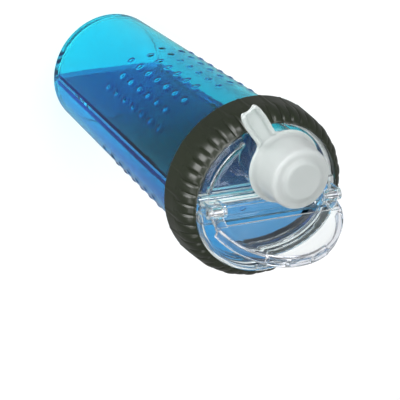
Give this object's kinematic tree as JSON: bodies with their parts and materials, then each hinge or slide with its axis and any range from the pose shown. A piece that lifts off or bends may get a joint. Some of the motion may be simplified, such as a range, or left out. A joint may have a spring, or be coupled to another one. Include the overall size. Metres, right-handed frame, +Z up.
{
  "type": "dog travel water bottle",
  "caption": "Two-chamber travel bottle for a dog: tapered clear body with a middle wall, ribbed screw collar, clear lid with capped spout and hinged food door.",
  "frame": {"origin": "middle of the flat base, on the surface that the bottle stands on", "axes": "+Z up through the mouth; the middle wall lies along X on y = 0; the food door faces -Y and the drinking spout is on the +Y half; the door's hinge runs along X"},
  "size_m": [0.0942, 0.1064, 0.2301],
  "materials": {
    "blue_clear": "clear tinted blue plastic, polished",
    "collar_dark": "dark olive grey moulded plastic, satin",
    "lid_clear": "clear colourless plastic, polished",
    "cap_milky": "milky semi-clear soft plastic, satin",
    "seal_soft": "pale soft silicone",
    "pin_steel": "plain round steel pins"
  },
  "bodies": {
    "bottle": {"bottle_body": "blue_clear", "chamber_divider": "blue_clear"},
    "lid": {"lid_plate": "lid_clear", "spout_neck": "lid_clear", "rim_gasket": "seal_soft", "divider_seal": "seal_soft", "hinge_pins": "pin_steel"},
    "collar": {"screw_collar": "collar_dark"},
    "door": {"food_door": "lid_clear"},
    "cap": {"spout_cap": "cap_milky", "cap_liner": "seal_soft"}
  },
  "joints": [
    {"name": "lid_lift", "type": "slide", "parent": "bottle", "child": "lid", "axis": [0, 0, 1], "range_m": [0, 0.0063]},
    {"name": "collar_turn", "type": "hinge", "parent": "lid", "child": "collar", "pos_m": [0, 0, 0.18], "axis": [0, 0, 1], "range_deg": [0, 450]},
    {"name": "door_swing", "type": "hinge", "parent": "lid", "child": "door", "pos_m": [0, 0, 0.1978], "axis": [-1, 0, 0], "range_deg": [-66, 36]},
    {"name": "cap_pull", "type": "slide", "parent": "lid", "child": "cap", "axis": [0, 0, 1], "range_m": [0, 0.035]}
  ],
  "couplings": [
    {"joint": "lid_lift", "follows": "collar_turn", "m_per_rad": 0.00079577}
  ]
}
